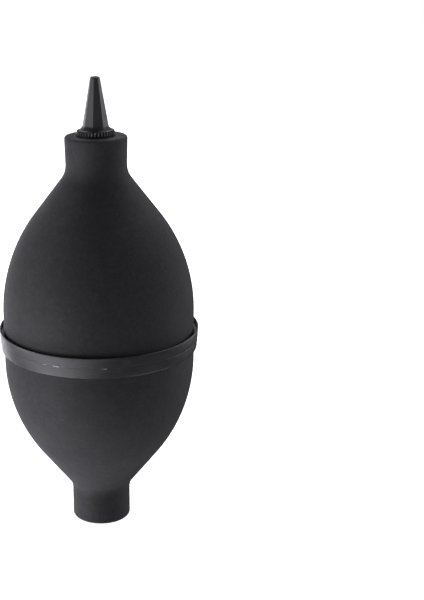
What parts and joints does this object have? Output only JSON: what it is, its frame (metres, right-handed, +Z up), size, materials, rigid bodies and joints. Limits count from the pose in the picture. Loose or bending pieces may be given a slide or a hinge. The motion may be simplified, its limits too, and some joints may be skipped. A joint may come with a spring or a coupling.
{
  "type": "dust blower bulb",
  "caption": "Hand blower: two rubber bulbs clamped by a waist band, a screw-in eight-sided nozzle on top and a one-way air inlet valve in the foot.",
  "frame": {"origin": "centre of the face that the blower stands on, the end of its lower neck", "axes": "+Z up along the blower's axis, towards the nozzle; -Y faces the viewer of the front"},
  "size_m": [0.062, 0.062, 0.1418],
  "materials": {
    "bulb_rubber": "matte charcoal rubber",
    "band_plastic": "satin black plastic",
    "nozzle_plastic": "semi-gloss black plastic",
    "insert_plastic": "plain black plastic",
    "seal_rubber": "soft black rubber",
    "filter_foam": "grey open foam",
    "valve_steel": "polished steel"
  },
  "bodies": {
    "base": {"lower_bulb": "bulb_rubber", "valve_body": "insert_plastic", "filter_grille": "nozzle_plastic", "filter_disc": "filter_foam", "valve_seat": "seal_rubber", "valve_spring": "valve_steel", "valve_cage": "insert_plastic"},
    "ball": {"valve_ball": "valve_steel"},
    "band": {"lower_clamp_ring": "band_plastic", "support_ring": "insert_plastic", "upper_clamp_ring": "band_plastic", "upper_bulb": "bulb_rubber"},
    "neck": {"neck_bush": "insert_plastic"},
    "washer": {"nozzle_washer": "seal_rubber"},
    "nozzle": {"nozzle": "nozzle_plastic"}
  },
  "joints": [
    {"name": "valve_lift", "type": "slide", "parent": "base", "child": "ball", "axis": [0, 0, 1], "range_m": [0, 0.0012], "stiffness_N_per_m": 30, "deforming": ["valve_spring"]},
    {"name": "lower_squeeze", "type": "slide", "parent": "base", "child": "band", "axis": [0, 0, -1], "range_m": [0, 0.016], "stiffness_N_per_m": 1500, "deforming": ["lower_bulb"]},
    {"name": "upper_squeeze", "type": "slide", "parent": "band", "child": "neck", "axis": [0, 0, -1], "range_m": [0, 0.016], "stiffness_N_per_m": 1500, "deforming": ["upper_bulb"]},
    {"name": "nozzle_lift", "type": "slide", "parent": "neck", "child": "washer", "axis": [0, 0, 1], "range_m": [0, 0.0045]},
    {"name": "nozzle_turn", "type": "hinge", "parent": "washer", "child": "nozzle", "pos_m": [0, 0, 0.12457], "axis": [0, 0, 1], "range_deg": [0, 1080]}
  ],
  "couplings": [
    {"joint": "nozzle_turn", "follows": "nozzle_lift", "rad_per_m": 4188.8}
  ]
}
